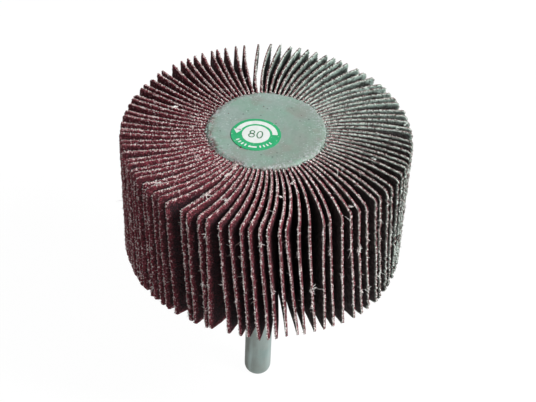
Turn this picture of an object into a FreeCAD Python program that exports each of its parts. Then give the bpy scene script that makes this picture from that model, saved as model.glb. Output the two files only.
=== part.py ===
import FreeCAD, Part
import math
import os
import Sketcher

# Flap wheel on a shank: abrasive cloth flaps stand like pages round a cast resin core.
# Millimetres, +Z along the axis from the shank's tip to the labelled face.
# The origin lies on the axis, in the lower face of the head, where the shank leaves it.

Vector = FreeCAD.Vector

doc = FreeCAD.newDocument("flap_wheel")


# Driving sizes, in millimetres and degrees
SIZES = {
    "head_radius": 30.0,      # over the flaps' tips
    "head_width": 30.0,       # flaps along the axis
    "lower_inset": 0.5,       # how much less the head measures at its lower edge
    "corner_cut": 0.8,        # worn outer corners of each flap
    "dressing": 0.6,          # what truing takes off the tips of flaps that were cut long
    "flap_count": 92,
    "flap_runs": 5,           # straight runs that make up a flap's bend
    "flap_thick": 0.6,        # cloth, bond and grain together
    "root_web": 0.03,         # resin film between neighbouring roots, at their inner ends
    "grip_length": 3.0,       # stretch of each flap that the resin holds
    "key_depth": 1.5,         # notch at both ends of a root, filled by the core's two discs
    "curl_kinds": 24,         # different sweeps among the flaps
    "first_angle": 2.1,       # where round the wheel the first flap stands
    "least_angle": 1.6,       # sweep of the straightest flap, root to tip, about the axis
    "most_angle": 9.8,        # sweep of the most swept flap
    "scatter_angle": 1.1,     # how much neighbours differ
    "climb_power": 0.75,      # how early round the wheel the sweep grows; 1 is evenly
    "seam_angle": 105.0,      # where round the wheel the straightest flaps stand
    "seam_width_angle": 15.0,     # in which the sweep falls from most to least
    "parting_angle": 239.0,       # where two flaps have sprung apart
    "parting_lean_angle": 2.0,    # how far each of them leans away
    "parting_width_angle": 5.0,   # over which the flaps beside them follow
    "core_crown": 0.5,        # resin standing proud of the flaps on the upper face
    "core_edge": 0.4,         # soft rim of the cast discs
    "shank_radius": 3.0,
    "shank_reach": 40.0,      # shank below the head
    "shank_cover": 4.5,       # resin over the shank's inner end
    "tip_length": 1.8,        # rounded tip, along the shank
    "tip_inset": 1.1,         # and across it
    "neck_length": 2.4,       # ring cut in the shank just inside the head, filled by resin
    "neck_depth": 0.5,
    "flat_margin": 5.0,       # two flats stop this short of both ends of the held stretch
    "flat_depth": 0.7,
    "label_radius": 5.1,
    "label_thick": 0.12,
    "label_left": 2.5,        # middle of the label, left of the axis
    "label_front": 1.6,       # and in front of it
}

# Sizes that follow from the driving ones
ROOT_RADIUS = "(Sizes.flap_count * (Sizes.flap_thick + Sizes.root_web) / (2 * pi))"
CORE_RADIUS = "(" + ROOT_RADIUS + " + Sizes.grip_length)"
CORE_TOP = "(Sizes.head_width + Sizes.core_crown)"
SHANK_TOP = "(" + CORE_TOP + " - Sizes.shank_cover)"
FLAPS_PER_NODE = 2
SPARE = 1.0                   # how far a cut runs past what it cuts
ROUND_SHARE = 0.293           # a quarter round's middle, as a share of its size from either end


def make_sheet():
    """Put every driving size in a cell of its own, under its name."""
    sheet = doc.addObject("Spreadsheet::Sheet", "Sizes")
    for row, (name, value) in enumerate(SIZES.items(), start=1):
        sheet.set(f"A{row}", name)
        sheet.set(f"B{row}", str(value))
        sheet.setAlias(f"B{row}", name)
    doc.recompute()
    return sheet


SHEET = make_sheet()


def size(name):
    """A driving size, read from its cell."""
    return float(SHEET.get(name))


def value(formula):
    """What a formula comes to with the sizes as they stand."""
    return float(SHEET.evalExpression(formula))


# Helpers for sketches

def new_sketch(body, name, role, lift=None):
    """A sketch on one of the body's own origin planes, lifted along its normal if asked."""
    plane = [part for part in body.Origin.OriginFeatures if part.Role == role][0]
    sketch = body.newObject("Sketcher::SketchObject", name)
    sketch.AttachmentSupport = [(plane, "")]
    sketch.MapMode = "FlatFace"
    if lift:
        sketch.setExpression("AttachmentOffset.Base.z", lift)
    return sketch


def add_dimensions(sketch, rows):
    """Named constraints; each row is kind, places, name and the formula that drives it."""
    ties = []
    for kind, places, name, formula in rows:
        tie = Sketcher.Constraint(kind, *places, value(formula))
        tie.Name = name
        ties.append(tie)
    sketch.addConstraint(ties)
    for _, _, name, formula in rows:
        sketch.setExpression("Constraints." + name, formula)


def draw_profile(sketch, name, corners):
    """A closed run of straight lines; each corner is a pair of formulas, across and along."""
    points = [Vector(value(across), value(along), 0) for across, along in corners]
    first, count = len(sketch.Geometry), len(corners)
    sketch.addGeometry([Part.LineSegment(points[i], points[(i + 1) % count]) for i in range(count)])
    sketch.addConstraint([Sketcher.Constraint("Coincident", first + i, 2, first + (i + 1) % count, 1)
                          for i in range(count)])
    rows = []
    for i, (across, along) in enumerate(corners):
        start = (-1, 1, first + i, 1)
        rows.append(("DistanceX", start, f"{name}_{i}_across", across))
        rows.append(("DistanceY", start, f"{name}_{i}_along", along))
    add_dimensions(sketch, rows)


def box(left, right, low, high):
    """Corners of an upright rectangle, from the formulas of its four sides."""
    return [(left, low), (right, low), (right, high), (left, high)]


def turned(body, name, sketch):
    """A sketch turned all the way round the wheel's axis."""
    feature = body.newObject("PartDesign::Revolution", name)
    feature.Profile = sketch
    feature.ReferenceAxis = (sketch, ["V_Axis"])
    feature.Angle = 360
    return feature


def cut_across(body, name, sketch, length):
    """A cut that runs out of its sketch to both sides."""
    feature = body.newObject("PartDesign::Pocket", name)
    feature.Profile = sketch
    feature.Midplane = True
    feature.setExpression("Length", length)
    return feature


# Flaps

def lean_formula(kind):
    """Sweep of one kind of flap, in degrees; the kinds run evenly from least to most."""
    span = "(Sizes.most_angle - Sizes.least_angle)"
    return f"(Sizes.least_angle + {span} * {kind} / (Sizes.curl_kinds - 1))"


def flap_plan(kind):
    """Corners of the flap seen from above: straight and radial in the resin, then bent.

    The bend leaves the core along the radius and follows an arc, in straight runs, to a tip
    a little outside the head, which this kind's lean has turned back about the axis.
    """
    half = "Sizes.flap_thick / 2"
    out = f"((Sizes.head_radius + Sizes.dressing) * cos({lean_formula(kind)}) - {CORE_RADIUS})"
    aside = f"((Sizes.head_radius + Sizes.dressing) * sin({lean_formula(kind)}))"
    bend = f"(({out}^2 + {aside}^2) / (2 * {aside}))"
    sweep = f"(2 * atan({aside} / {out}))"

    def face(sign):
        """One face of the bend, from the core to the tip."""
        for run in range(int(size("flap_runs")) + 1):
            turn = f"({sweep} * {run} / Sizes.flap_runs)"
            yield (f"{CORE_RADIUS} + ({bend} {sign} {half}) * sin({turn})",
                   f"({bend} {sign} {half}) * cos({turn}) - {bend}")

    return [(ROOT_RADIUS, half), *face("+"), *reversed(list(face("-"))), (ROOT_RADIUS, f"-{half}")]


def worn_tip(kind):
    """Corners of what truing and wear take off the tip, seen from the side."""
    tip = f"(Sizes.head_radius * cos({lean_formula(kind)}))"
    lower = f"({tip} - Sizes.lower_inset)"
    top = "Sizes.head_width"
    clear = f"{tip} + Sizes.dressing + {SPARE}"
    return [
        (f"{lower} - Sizes.corner_cut - {SPARE}", f"-{SPARE}"),
        (clear, f"-{SPARE}"),
        (clear, f"{top} + {SPARE}"),
        (f"{tip} - Sizes.corner_cut - {SPARE}", f"{top} + {SPARE}"),
        (tip, f"{top} - Sizes.corner_cut"),
        (lower, "Sizes.corner_cut"),
    ]


def make_flap(kind):
    """One flap with its own sweep: a bent strip, notched at its root and trued at its tip."""
    mark = f"{kind + 1:02d}"
    body = doc.addObject("PartDesign::Body", "flap_curl_" + mark)
    plan = new_sketch(body, "plan_" + mark, "XY_Plane")
    draw_profile(plan, "flap", flap_plan(kind))
    strip = body.newObject("PartDesign::Pad", "strip_" + mark)
    strip.Profile = plan
    strip.setExpression("Length", "Sizes.head_width")
    side = new_sketch(body, "side_" + mark, "XZ_Plane")
    inside = f"{ROOT_RADIUS} - {SPARE}"
    draw_profile(side, "lower_key", box(inside, CORE_RADIUS, f"-{SPARE}", "Sizes.key_depth"))
    draw_profile(side, "upper_key", box(inside, CORE_RADIUS, "Sizes.head_width - Sizes.key_depth",
                                        f"Sizes.head_width + {SPARE}"))
    draw_profile(side, "tip", worn_tip(kind))
    cut_across(body, "trimmed_" + mark, side, "2 * Sizes.head_radius")
    return body


def lean_at(number):
    """The sweep that flap number has, in degrees.

    Round the wheel it climbs from least to most and falls back at the seam. Two waves that
    never fall in step scatter the neighbours, and at the parting two flaps lean apart.
    """
    turn = size("first_angle") + 360 * number / size("flap_count")
    past_seam = ((turn - size("seam_angle")) % 360) / 360
    fall = size("seam_width_angle") / 360
    climb = min(past_seam / (1 - fall), (1 - past_seam) / fall) ** size("climb_power")
    scatter = size("scatter_angle")
    least, most = size("least_angle") + scatter, size("most_angle") - scatter
    wave = 0.6 * math.sin(2.4 * number) + 0.4 * math.sin(5.3 * number)
    off = (turn - size("parting_angle") + 180) % 360 - 180
    fade = math.exp(-abs(off) / size("parting_width_angle"))
    apart = -math.copysign(size("parting_lean_angle"), off) * fade
    return least + (most - least) * climb + scatter * wave + apart


def kind_of_flap(number):
    """The kind whose sweep comes nearest to the one that this flap has."""
    least, most = size("least_angle"), size("most_angle")
    share = (lean_at(number) - least) / (most - least)
    last = int(size("curl_kinds")) - 1
    return min(max(round(share * last), 0), last)


def make_flap_pair(pair, kinds):
    """Two neighbouring flaps, side by side and apart, each turned to its own slot."""
    first = pair * FLAPS_PER_NODE
    flaps = []
    for number in range(first, min(first + FLAPS_PER_NODE, int(size("flap_count")))):
        flap = doc.addObject("App::Link", f"flap_{number + 1:02d}")
        flap.LinkedObject = kinds[kind_of_flap(number)]
        turn = f"(Sizes.first_angle + 360 * {number} / Sizes.flap_count) * 1 deg"
        flap.setExpression("Placement.Rotation.Angle", turn)
        flaps.append(flap)
    node = doc.addObject("Part::Compound", f"flap_pair_{pair + 1:02d}")
    node.Links = flaps
    return node


# Core and shank

def make_shank():
    """The turned steel shank: rounded tip, plain where a chuck grips it, locked in the resin."""
    body = doc.addObject("PartDesign::Body", "shank")
    outline = new_sketch(body, "shank_outline", "XZ_Plane")
    wall = "Sizes.shank_radius"
    neck = "Sizes.shank_radius - Sizes.neck_depth"
    draw_profile(outline, "rod", [
        ("0", "-Sizes.shank_reach"),
        ("Sizes.shank_radius - Sizes.tip_inset", "-Sizes.shank_reach"),
        (f"Sizes.shank_radius - Sizes.tip_inset * {ROUND_SHARE}",
         f"Sizes.tip_length * {ROUND_SHARE} - Sizes.shank_reach"),
        (wall, "Sizes.tip_length - Sizes.shank_reach"),
        (wall, "0"),
        (neck, "0"),
        (neck, "Sizes.neck_length"),
        (wall, "Sizes.neck_length"),
        (wall, SHANK_TOP),
        ("0", SHANK_TOP),
    ])
    turned(body, "rod", outline)
    flats = new_sketch(body, "flat_outline", "XZ_Plane")
    low = "Sizes.flat_margin"
    high = f"{SHANK_TOP} - Sizes.flat_margin"
    inner = "Sizes.shank_radius - Sizes.flat_depth"
    outer = f"Sizes.shank_radius + {SPARE}"
    draw_profile(flats, "right", box(inner, outer, low, high))
    draw_profile(flats, "left", box(f"-({outer})", f"-({inner})", low, high))
    cut_across(body, "flats", flats, f"2 * (Sizes.shank_radius + {SPARE})")
    return body


def make_core_blank():
    """The cast core before the shank's hollow: two discs, a hub and a slot for each root."""
    body = doc.addObject("PartDesign::Body", "core_blank")
    outline = new_sketch(body, "core_outline", "XZ_Plane")
    rim = f"{CORE_RADIUS} - Sizes.core_edge"
    draw_profile(outline, "core", [
        ("0", "0"),
        (rim, "0"),
        (CORE_RADIUS, "Sizes.core_edge"),
        (CORE_RADIUS, f"{CORE_TOP} - Sizes.core_edge"),
        (rim, CORE_TOP),
        ("0", CORE_TOP),
    ])
    turned(body, "cast", outline)
    slot = new_sketch(body, "slot_outline", "XY_Plane", "Sizes.head_width - Sizes.key_depth")
    draw_profile(slot, "slot", box(ROOT_RADIUS, f"{CORE_RADIUS} + {SPARE}",
                                   "-Sizes.flap_thick / 2", "Sizes.flap_thick / 2"))
    first = body.newObject("PartDesign::Pocket", "first_slot")
    first.Profile = slot
    first.setExpression("Length", "Sizes.head_width - 2 * Sizes.key_depth")
    doc.recompute()
    slots = body.newObject("PartDesign::PolarPattern", "slots")
    slots.Originals = [first]
    slots.Axis = (slot, ["N_Axis"])
    slots.Angle = 360
    slots.setExpression("Occurrences", "Sizes.flap_count")
    body.Tip = slots
    body.setExpression("Placement.Rotation.Angle", "Sizes.first_angle * 1 deg")
    return body


def make_core(shank):
    """The core as cast: resin stands round the shank, in its neck and on its flats."""
    core = doc.addObject("Part::Cut", "resin_core")
    core.Base = make_core_blank()
    core.Tool = shank
    return core


def make_label():
    """The round paper label, stuck on the upper disc a little off the axis."""
    body = doc.addObject("PartDesign::Body", "label")
    outline = new_sketch(body, "label_outline", "XY_Plane", CORE_TOP)
    left, front, radius = size("label_left"), size("label_front"), size("label_radius")
    outline.addGeometry(Part.Circle(Vector(-left, -front, 0), Vector(0, 0, 1), radius))
    add_dimensions(outline, [
        ("DistanceX", (0, 3, -1, 1), "left", "Sizes.label_left"),
        ("DistanceY", (0, 3, -1, 1), "front", "Sizes.label_front"),
        ("Radius", (0,), "radius", "Sizes.label_radius"),
    ])
    paper = body.newObject("PartDesign::Pad", "paper")
    paper.Profile = outline
    paper.setExpression("Length", "Sizes.label_thick")
    return body


# Assembly

def build():
    shank = make_shank()
    nodes = [shank, make_core(shank), make_label()]
    kinds = [make_flap(kind) for kind in range(int(size("curl_kinds")))]
    pairs = math.ceil(size("flap_count") / FLAPS_PER_NODE)
    nodes += [make_flap_pair(pair, kinds) for pair in range(pairs)]
    doc.recompute()
    return nodes


def check(nodes):
    """Stop before anything is written if an object failed or a piece is no solid."""
    for thing in doc.Objects:
        if "Invalid" in thing.State or "Error" in thing.State:
            raise RuntimeError(f"{thing.Name} failed: {thing.State}")
    for node in nodes:
        if node.Shape.isNull() or not node.Shape.isValid() or not node.Shape.Solids:
            raise RuntimeError(f"{node.Label} is no valid solid")


def write(nodes):
    os.makedirs("parts", exist_ok=True)
    for node in nodes:
        node.Shape.exportStep(os.path.join("parts", node.Label + ".step"))


NODES = build()
check(NODES)
write(NODES)
whole = Part.makeCompound([node.Shape for node in NODES])
print(f"{len(NODES)} nodes, {len(whole.Solids)} solids")
print(f"box {whole.BoundBox}")
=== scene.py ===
# %% [markdown]
# # A mounted flap wheel
# The tool is a small sanding wheel for a drill: 92 strips of abrasive cloth stand round a cast
# resin core, and a round steel shank carries them. The CAD frame gives every size. This lesson
# dresses it: worn and curled flaps, a mottled casting, a printed label, frayed threads and lamps.

# %% Load the frame
import math
import bpy
import numpy as np
from mathutils import Matrix, Vector

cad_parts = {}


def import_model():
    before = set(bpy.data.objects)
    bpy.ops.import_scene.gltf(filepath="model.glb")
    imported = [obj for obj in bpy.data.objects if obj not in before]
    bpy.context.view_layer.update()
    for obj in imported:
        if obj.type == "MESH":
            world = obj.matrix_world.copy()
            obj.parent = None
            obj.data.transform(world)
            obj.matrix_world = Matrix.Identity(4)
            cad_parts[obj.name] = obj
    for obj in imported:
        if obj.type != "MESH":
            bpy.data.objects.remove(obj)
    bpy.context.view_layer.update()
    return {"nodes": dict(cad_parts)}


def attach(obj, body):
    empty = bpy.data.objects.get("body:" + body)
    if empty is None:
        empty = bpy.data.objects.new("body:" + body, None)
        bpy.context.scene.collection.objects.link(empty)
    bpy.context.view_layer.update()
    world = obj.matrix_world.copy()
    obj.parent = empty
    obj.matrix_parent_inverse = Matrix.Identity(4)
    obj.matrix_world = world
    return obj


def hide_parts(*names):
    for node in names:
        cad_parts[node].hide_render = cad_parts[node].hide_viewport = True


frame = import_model()
MM = 0.001

# %% [markdown]
# ## From arrays to a mesh
# Every new piece here is a surface worked out with numpy. One helper turns points and faces into a
# mesh, hands it its attributes and its UV map, and lets it ride on the frame. Points are written in
# millimetres and are scaled once, so each object stays at the origin.

# %% A helper that makes a piece


def show(name, data):
    """A new object with this data, linked into the scene."""
    thing = bpy.data.objects.new(name, data)
    bpy.context.scene.collection.objects.link(thing)
    return thing


def make_piece(name, points, faces, material, attributes=None, uv=None, smooth_angle=40):
    """A mesh from an (n, 3) array in millimetres and a list of (m, 3) or (m, 4) index arrays."""
    mesh = bpy.data.meshes.new(name)
    flat = np.concatenate([f.ravel() for f in faces])
    sizes = np.concatenate([np.full(len(f), f.shape[1]) for f in faces])
    starts = np.concatenate([[0], np.cumsum(sizes)[:-1]])
    mesh.vertices.add(len(points))
    mesh.vertices.foreach_set("co", (points * MM).astype(np.float32).ravel())
    mesh.loops.add(len(flat))
    mesh.loops.foreach_set("vertex_index", flat.astype(np.int32))
    mesh.polygons.add(len(sizes))
    mesh.polygons.foreach_set("loop_start", starts.astype(np.int32))
    mesh.update(calc_edges=True)
    mesh.validate()
    mesh.polygons.foreach_set("use_smooth", np.ones(len(mesh.polygons), bool))
    for label, values in (attributes or {}).items():
        layer = mesh.attributes.new(label, "FLOAT", "POINT")
        layer.data.foreach_set("value", np.asarray(values, np.float32))
    if uv is not None:
        sheet = mesh.uv_layers.new(name="UVMap")
        sheet.data.foreach_set("uv", uv[flat].astype(np.float32).ravel())
    mesh.set_sharp_from_angle(angle=math.radians(smooth_angle))
    mesh.materials.append(material)
    piece = show(name, mesh)
    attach(piece, "root")
    return piece


# %% [markdown]
# Most surfaces here are grids of points: two parameters, such as height and angle, number the rows
# and columns. The faces follow from the numbering alone, so they are worked out once for all
# pieces: plain grids, rings closed by two fans, and many copies of one small shape.

# %% Points and faces that repeat


def polar(radius, angle, height):
    """Points from a distance to the axis, an angle round it and a height, broadcast together."""
    return np.stack(np.broadcast_arrays(radius * np.cos(angle), radius * np.sin(angle), height), -1)


def unit(vectors):
    """The same directions with length one."""
    return vectors / np.linalg.norm(vectors, axis=-1, keepdims=True)


def grid_faces(rows, columns, close_rows=False, close_columns=False):
    """Quads of a rows x columns grid of points, wrapped round where a direction closes."""
    r = np.arange(rows if close_rows else rows - 1)
    c = np.arange(columns if close_columns else columns - 1)
    r, c = np.meshgrid(r, c, indexing="ij")
    r2, c2 = (r + 1) % rows, (c + 1) % columns
    corners = [r * columns + c, r2 * columns + c, r2 * columns + c2, r * columns + c2]
    return np.stack(corners, -1).reshape(-1, 4)


def capped_faces(rows, columns):
    """Rings joined by quads, with a fan of triangles at each end; two poles follow the last ring."""
    here = np.arange(columns)
    after = (here + 1) % columns
    last = (rows - 1) * columns
    pole = np.full(columns, rows * columns)
    fans = [np.stack([here, after, pole], -1), np.stack([last + after, last + here, pole + 1], -1)]
    return [grid_faces(rows, columns, close_columns=True), np.vstack(fans)]


def flipped(faces):
    """The same faces, looking the other way."""
    return [f[:, ::-1] for f in faces]


def copies(faces, count, size):
    """The same faces for count copies of a shape that has size points."""
    offset = size * np.arange(count)[:, None, None]
    return [(f[None] + offset).reshape(-1, f.shape[1]) for f in faces]


print("two rings of four points, closed by fans, have", sum(map(len, capped_faces(2, 4))), "faces")

# %% [markdown]
# ## Effects that several finishes share
# Grain, mottling and dust appear on more than one finish. Each is a node group, built once, with
# named inputs, so that a finish only sets its own values. A few short helpers come first: they add
# a node, set or link its inputs and hand back the socket that carries the result.

# %% Helpers that add nodes


def feed(tree, socket, value):
    """Links another node's output into an input, or gives the input a plain value."""
    if isinstance(value, bpy.types.NodeSocket):
        tree.links.new(value, socket)
    else:
        socket.default_value = value


def add(tree, kind, **settings):
    """A node with its properties set; a key written in_NAME feeds the input called NAME."""
    node = tree.nodes.new(kind)
    for key, value in settings.items():
        if key.startswith("in_"):
            feed(tree, node.inputs[key[3:].replace("_", " ")], value)
        else:
            setattr(node, key, value)
    return node


def maths(tree, what, a, b=0.0, clamp=False):
    """A Math node of two values, each a socket or a number."""
    node = add(tree, "ShaderNodeMath", operation=what, use_clamp=clamp)
    feed(tree, node.inputs[0], a)
    feed(tree, node.inputs[1], b)
    return node.outputs[0]


def scaled(tree, value, factor):
    """value times factor."""
    return maths(tree, "MULTIPLY", value, factor)


def swing(tree, value, width):
    """A value from 0 to 1 turned into one that swings round zero, width wide in all."""
    return scaled(tree, maths(tree, "SUBTRACT", value, 0.5), width)


# %% Helpers for colours and masks


def ramp(tree, source, stops):
    """A Color Ramp fed by source, with stops [(place, grey or colour)]."""
    node = add(tree, "ShaderNodeValToRGB", in_Fac=source)
    points = node.color_ramp.elements
    while len(points) < len(stops):
        points.new(0.5)
    for point, (place, colour) in zip(points, stops):
        point.position = place
        point.color = (*colour, 1) if isinstance(colour, tuple) else (colour, colour, colour, 1)
    return node.outputs["Color"]


def climb(tree, source, low, high, first=0.0, last=1.0):
    """first where source is under low, last where it is over high, and even between them."""
    return ramp(tree, source, [(low, first), (high, last)])


def mix(tree, share, low, high):
    """Colour mix: low where share is 0, high where it is 1. low and high are sockets or colours."""
    node = add(tree, "ShaderNodeMix", data_type="RGBA")
    for number, value in ((0, share), (6, low), (7, high)):
        feed(tree, node.inputs[number], (*value, 1) if isinstance(value, tuple) else value)
    return node.outputs[2]


def tint(tree, colour, target, mask, share):
    """The colour drawn towards a target where the mask is high, by a share of the way."""
    return mix(tree, scaled(tree, mask, share), colour, target)


# %% Helpers for what a node tree reads and gives


def attribute(tree, name):
    """The value that a piece's mesh stores under this name."""
    return add(tree, "ShaderNodeAttribute", attribute_name=name).outputs["Fac"]


def object_place(tree):
    """Object coordinates: metres on the wheel, the same whatever the pose."""
    return tree.nodes.new("ShaderNodeTexCoord").outputs["Object"]


def new_group(name, inputs, outputs):
    """A shader group with float inputs {name: default} and float outputs (name, ...)."""
    group = bpy.data.node_groups.new(name, "ShaderNodeTree")
    for label, default in inputs.items():
        socket = group.interface.new_socket(name=label, in_out="INPUT", socket_type="NodeSocketFloat")
        socket.default_value = default
    for label in outputs:
        group.interface.new_socket(name=label, in_out="OUTPUT", socket_type="NodeSocketFloat")
    return group, group.nodes.new("NodeGroupInput").outputs, group.nodes.new("NodeGroupOutput").inputs


# %% [markdown]
# Speckle is the look of loose or bonded grains: small cells, of which a share is picked out. The
# cells are Voronoi cells on Object coordinates, one per grain, and each has its own random value.
# Mottle is a soft cloudiness from Noise. Side tells how far a point lies towards one side of the
# wheel, because this wheel is greyer and dustier on some sides than on others.

# %% The speckle group


def speckle_group():
    """Cells of a given size in millimetres; Mask is 1 on the picked share, soft at their rims."""
    group, given, out = new_group("speckle", {"Size": 0.25, "Share": 0.2}, ("Mask", "Tone", "Height"))
    scale = maths(group, "DIVIDE", 1 / MM, given["Size"])
    cells = add(group, "ShaderNodeTexVoronoi", feature="F1", in_Vector=object_place(group), in_Scale=scale)
    random = add(group, "ShaderNodeSeparateColor", in_Color=cells.outputs["Color"]).outputs
    picked = maths(group, "LESS_THAN", random["Red"], given["Share"])
    middle = cells.outputs["Distance"]
    dot = maths(group, "MULTIPLY", maths(group, "SUBTRACT", 0.66, middle), 3.5, clamp=True)
    feed(group, out["Mask"], maths(group, "MULTIPLY", picked, dot, clamp=True))
    feed(group, out["Tone"], random["Green"])
    feed(group, out["Height"], maths(group, "SUBTRACT", 1.0, scaled(group, middle, 1.3), clamp=True))
    return group


SPECKLE = speckle_group()
print("speckle nodes", len(SPECKLE.nodes))

# %% The mottle and side groups
# radius of the flaps' tips in millimetres
TIP = 30.0


def mottle_group():
    """Smooth random patches of a given size in millimetres, stretched to fill 0 to 1."""
    group, given, out = new_group("mottle", {"Size": 3.0, "Contrast": 2.0}, ("Value",))
    scale = maths(group, "DIVIDE", 1 / MM, given["Size"])
    patches = add(group, "ShaderNodeTexNoise", in_Vector=object_place(group), in_Scale=scale,
                  in_Detail=4.0, in_Roughness=0.55)
    spread = swing(group, patches.outputs["Fac"], given["Contrast"])
    feed(group, out["Value"], maths(group, "ADD", spread, 0.5, clamp=True))
    return group


def side_group():
    """How far a point lies towards one side of the wheel: Mask climbs from 0 at From to 1 at To.

    The distance along the direction (Way X, Way Y) is counted in flap tip radii, and Wander is
    added to it, so that the limit need not be a straight line."""
    names = {"Way X": 1.0, "Way Y": 0.0, "Wander": 0.0, "From": 0.0, "To": 1.0}
    group, given, out = new_group("side", names, ("Mask",))
    at = add(group, "ShaderNodeSeparateXYZ", in_Vector=object_place(group)).outputs
    along_x, along_y = (maths(group, "MULTIPLY", at[axis], given["Way " + axis]) for axis in "XY")
    far = maths(group, "DIVIDE", maths(group, "ADD", along_x, along_y), TIP * MM)
    over = maths(group, "SUBTRACT", maths(group, "ADD", far, given["Wander"]), given["From"])
    span = maths(group, "SUBTRACT", given["To"], given["From"])
    feed(group, out["Mask"], maths(group, "DIVIDE", over, span, clamp=True))
    return group


MOTTLE = mottle_group()
SIDE = side_group()
# where dust has greyed the edges: direction, and where that starts and is complete
GREYED = (0.85, 0.53), 0.08, 0.6
print("groups", [g.name for g in bpy.data.node_groups])

# %% Placing the groups in a finish


def speckle(tree, size, share):
    """Speckle with its own grain size in millimetres and picked share: Mask, Tone and Height."""
    return add(tree, "ShaderNodeGroup", node_tree=SPECKLE, in_Size=size, in_Share=share).outputs


def mottle(tree, size, contrast=2.0):
    """Mottle with its own patch size in millimetres."""
    node = add(tree, "ShaderNodeGroup", node_tree=MOTTLE, in_Size=size, in_Contrast=contrast)
    return node.outputs["Value"]


def side(tree, way, low, high, wander=0.0):
    """Side with its direction and the two places between which its mask climbs."""
    node = add(tree, "ShaderNodeGroup", node_tree=SIDE, in_Way_X=way[0], in_Way_Y=way[1],
               in_From=low, in_To=high, in_Wander=wander)
    return node.outputs["Mask"]


def new_finish(name, **shader_values):
    """A material, its node tree and its Principled shader with plain values on its own sockets."""
    finish = bpy.data.materials.new(name)
    finish.use_nodes = True
    tree = finish.node_tree
    shader = tree.nodes["Principled BSDF"]
    for key, value in shader_values.items():
        shader.inputs[key.replace("_", " ")].default_value = value
    return finish, tree, shader


def surface(tree, shader, colour, height, depth, strength=1.0):
    """Feeds a colour, and a height through a Bump node; depth is in millimetres."""
    relief = add(tree, "ShaderNodeBump", in_Strength=strength, in_Distance=depth * MM, in_Height=height)
    feed(tree, shader.inputs["Base Color"], colour)
    feed(tree, shader.inputs["Normal"], relief.outputs["Normal"])


# %% [markdown]
# ## The abrasive cloth
# A flap has two sides: a dark red layer of bonded grain and the bare back of a grey-green cotton
# cloth. Its cut edge shows both, a thin pale line of cloth beside a rosy strip of grain, and that
# edge is most of what one sees of the wheel. One material does all of it: an attribute called layer
# says how far through the flap a point lies, 0 on the cloth side and 1 on the grain side, and
# from_edge says how many millimetres it is from the cut. Colours are linear, and a pair of them
# runs from where a mask is 0 to where it is 1.

# %% The grain side
# millimetres from the cut that the limits of the dust and the painted shade between the flaps are shares of
EDGE_REACH = 10.0
GRAIN_BARE = (0.068, 0.015, 0.020), (0.135, 0.025, 0.034)
GRAIN_BRIGHT, GRAIN_PALE, GRAIN_GREY = (0.42, 0.072, 0.102), (0.74, 0.42, 0.46), (0.050, 0.026, 0.024)
# grain loaded with dust, nearly black: painted shade between the flaps, with real dust
GRAIN_SHADED_LOADED = (0.013, 0.008, 0.010), (0.034, 0.014, 0.018)
GRAIN_DULL = (0.18, 0.028, 0.044)


def grain_side(tree, fine, patches, greyer, from_edge):
    """Crimson where the cut laid the grain bare; deeper between the flaps nearly black, from dust and
    painted shade.
    """
    bare = mix(tree, patches, *GRAIN_BARE)
    bare = tint(tree, bare, GRAIN_BRIGHT, fine["Mask"], 0.8)
    bare = tint(tree, bare, GRAIN_PALE, speckle(tree, 0.34, 0.10)["Mask"], 0.6)
    bare = tint(tree, bare, GRAIN_GREY, greyer, 0.75)
    shaded_loaded = mix(tree, patches, *GRAIN_SHADED_LOADED)
    shaded_loaded = tint(tree, shaded_loaded, GRAIN_DULL, fine["Mask"], 0.38)
    # painted shade: the grain darkens with depth between the flaps, and the bare strip reaches deeper on the
    # rear left
    depth = scaled(tree, maths(tree, "ADD", from_edge, swing(tree, patches, 1.3)), 1 / EDGE_REACH)
    backward = side(tree, (-0.55, 0.83), 0.1, 0.8)
    grain_shade_share = mix(tree, backward, climb(tree, depth, 0.015, 0.12), climb(tree, depth, 0.05, 0.50))
    return mix(tree, grain_shade_share, bare, shaded_loaded)


# %% The cloth side
CLOTH_CLEAN = (0.19, 0.29, 0.25), (0.66, 0.84, 0.75)
CLOTH_THREAD, CLOTH_SOIL = (0.20, 0.22, 0.19), (0.055, 0.045, 0.040)
# brown and nearly black: painted shade between the flaps, with some dust
CLOTH_SHADED_BROWN = (0.022, 0.017, 0.018), (0.094, 0.074, 0.072)
CLOTH_SHADED_BLACK = (0.012, 0.016, 0.014), (0.050, 0.060, 0.053)


def cloth_side(tree, patches, cloudy, from_edge):
    """Grey-green twill near the cut; between the flaps brown or nearly black, from dust and painted shade.
    """
    sheet = add(tree, "ShaderNodeUVMap", uv_map="UVMap").outputs["UV"]
    threads = add(tree, "ShaderNodeTexWave", wave_type="BANDS", bands_direction="DIAGONAL",
                  in_Vector=sheet, in_Scale=7.5, in_Distortion=0.6, in_Detail=1.0)
    cloth = mix(tree, cloudy, *CLOTH_CLEAN)
    cloth = tint(tree, cloth, CLOTH_THREAD, threads.outputs["Fac"], 0.35)
    cloth = tint(tree, cloth, CLOTH_SOIL, speckle(tree, 0.55, 0.35)["Mask"], 0.7)
    # painted shade: the cloth darkens with depth between the flaps; on the rear side it is blacker and the
    # clean cloth reaches deeper
    rear_side = side(tree, (0.40, 0.92), 0.30, 0.85)
    shaded_dusty_cloth = mix(tree, rear_side, mix(tree, cloudy, *CLOTH_SHADED_BROWN), mix(tree, cloudy, *CLOTH_SHADED_BLACK))
    uneven = maths(tree, "ADD", swing(tree, cloudy, 0.9), swing(tree, patches, 1.3))
    under = maths(tree, "ADD", from_edge, maths(tree, "MULTIPLY", uneven, rear_side))
    under = scaled(tree, under, 1 / EDGE_REACH)
    cloth_shade_share = mix(tree, rear_side, climb(tree, under, 0.01, 0.035), climb(tree, under, 0.01, 0.10))
    return mix(tree, cloth_shade_share, cloth, shaded_dusty_cloth)


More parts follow.
